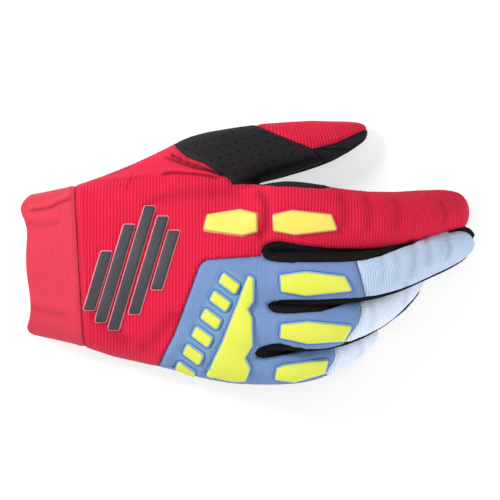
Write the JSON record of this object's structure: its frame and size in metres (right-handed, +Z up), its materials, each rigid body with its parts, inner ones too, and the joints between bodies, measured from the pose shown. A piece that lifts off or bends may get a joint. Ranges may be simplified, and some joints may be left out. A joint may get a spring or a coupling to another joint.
{
  "type": "motocross glove",
  "caption": "Right-hand motocross glove lying palm down, with a rib knit cuff, stretch back, raised rubber knuckle pads and a suede palm.",
  "frame": {"origin": "under the middle of the glove, on the plane that it rests on", "axes": "+X from the cuff towards the fingertips, +Y towards the thumb, +Z up, out of the back of the hand"},
  "size_m": [0.2382, 0.138, 0.059],
  "materials": {
    "cuff_knit": "fine rib knit, matte, light red",
    "red_stretch": "ribbed stretch mesh, matte, red",
    "blue_stretch": "padded fine rib stretch fabric, matte, mid blue",
    "pale_blue_stretch": "ribbed stretch fabric, matte, pale blue",
    "black_knit": "elastic knit, matte, black",
    "black_perforated": "perforated synthetic suede, matte, near black",
    "black_suede": "synthetic suede, matte, black",
    "yellow_rubber": "soft moulded rubber, satin, neon yellow",
    "grey_rubber": "soft moulded rubber, satin, dark grey"
  },
  "bodies": {
    "root": {"cuff": "cuff_knit", "back_panel": "red_stretch", "thumb_back": "red_stretch", "knuckle_panel": "blue_stretch", "middle_tip": "pale_blue_stretch", "ring_tip": "pale_blue_stretch", "little_tip": "pale_blue_stretch", "gusset_index_middle": "black_knit", "gusset_middle_ring": "black_knit", "gusset_ring_little": "black_knit", "thumb_patch": "black_perforated", "palm": "black_suede", "index_pad_1": "yellow_rubber", "index_pad_2": "yellow_rubber", "middle_pad": "yellow_rubber", "ring_pad": "yellow_rubber", "little_pad": "yellow_rubber", "knuckle_guard": "yellow_rubber", "knuckle_bar_1": "yellow_rubber", "knuckle_bar_2": "yellow_rubber", "knuckle_bar_3": "yellow_rubber", "knuckle_bar_4": "yellow_rubber", "knuckle_bar_5": "yellow_rubber", "knuckle_bar_6": "yellow_rubber", "back_rib_1": "grey_rubber", "back_rib_2": "grey_rubber", "back_rib_3": "grey_rubber", "back_rib_4": "grey_rubber", "back_rib_5": "grey_rubber"}
  },
  "joints": []
}
